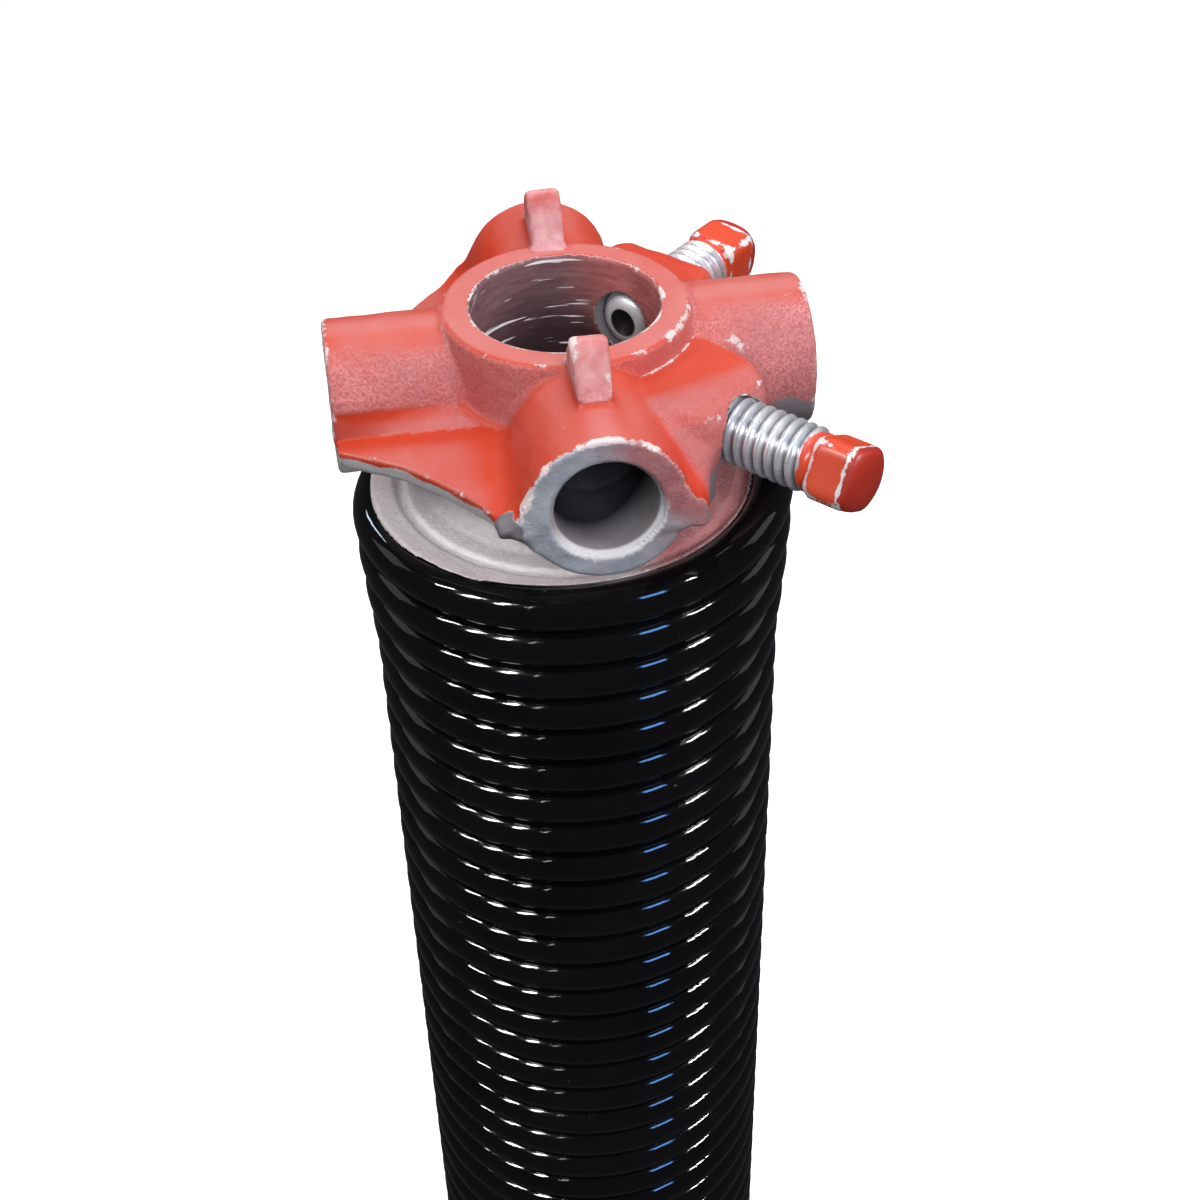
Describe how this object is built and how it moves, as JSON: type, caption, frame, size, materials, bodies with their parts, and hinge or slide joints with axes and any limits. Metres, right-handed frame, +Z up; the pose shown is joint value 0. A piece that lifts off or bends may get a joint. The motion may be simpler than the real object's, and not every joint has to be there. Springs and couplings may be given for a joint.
{
  "type": "garage door torsion spring",
  "caption": "Close-wound torsion spring on a cast winding cone with winding-bar sockets and two square-head set screws, and a stationary anchor cone.",
  "frame": {"origin": "on the shaft line, at the mounting face of the stationary cone, midway between its two bolt holes", "axes": "+Z up along the shaft line towards the winding cone; +X through the winding cone's socket that lies between the two set screws, and through the stationary cone's bolt holes; -Y through the ribbed front socket"},
  "size_m": [0.1086, 0.0767, 0.6489],
  "materials": {
    "black_coated_wire": "gloss black coating",
    "red_sprayed_casting": "cast aluminium, sprayed orange-red from above, worn at the edges",
    "zinc_screw": "zinc plated, head sprayed orange-red",
    "bare_casting": "bare cast aluminium"
  },
  "bodies": {
    "anchored_end": {"stationary_cone": "bare_casting", "spring": "black_coated_wire"},
    "winding_end": {"winding_cone": "red_sprayed_casting"},
    "front_screw": {"set_screw_front": "zinc_screw"},
    "rear_screw": {"set_screw_rear": "zinc_screw"}
  },
  "joints": [
    {"name": "winding", "type": "hinge", "parent": "anchored_end", "child": "winding_end", "pos_m": [0, 0, 0.61217], "axis": [0, 0, 1], "range_deg": [0, 2700], "stiffness_Nm_per_rad": 0.909, "deforming": ["spring"]},
    {"name": "front_screw_travel", "type": "slide", "parent": "winding_end", "child": "front_screw", "axis": [0.6691, -0.7431, 0], "range_m": [-0.0089, 0.004]},
    {"name": "rear_screw_travel", "type": "slide", "parent": "winding_end", "child": "rear_screw", "axis": [0.7314, 0.682, 0], "range_m": [-0.0004, 0.012]}
  ]
}
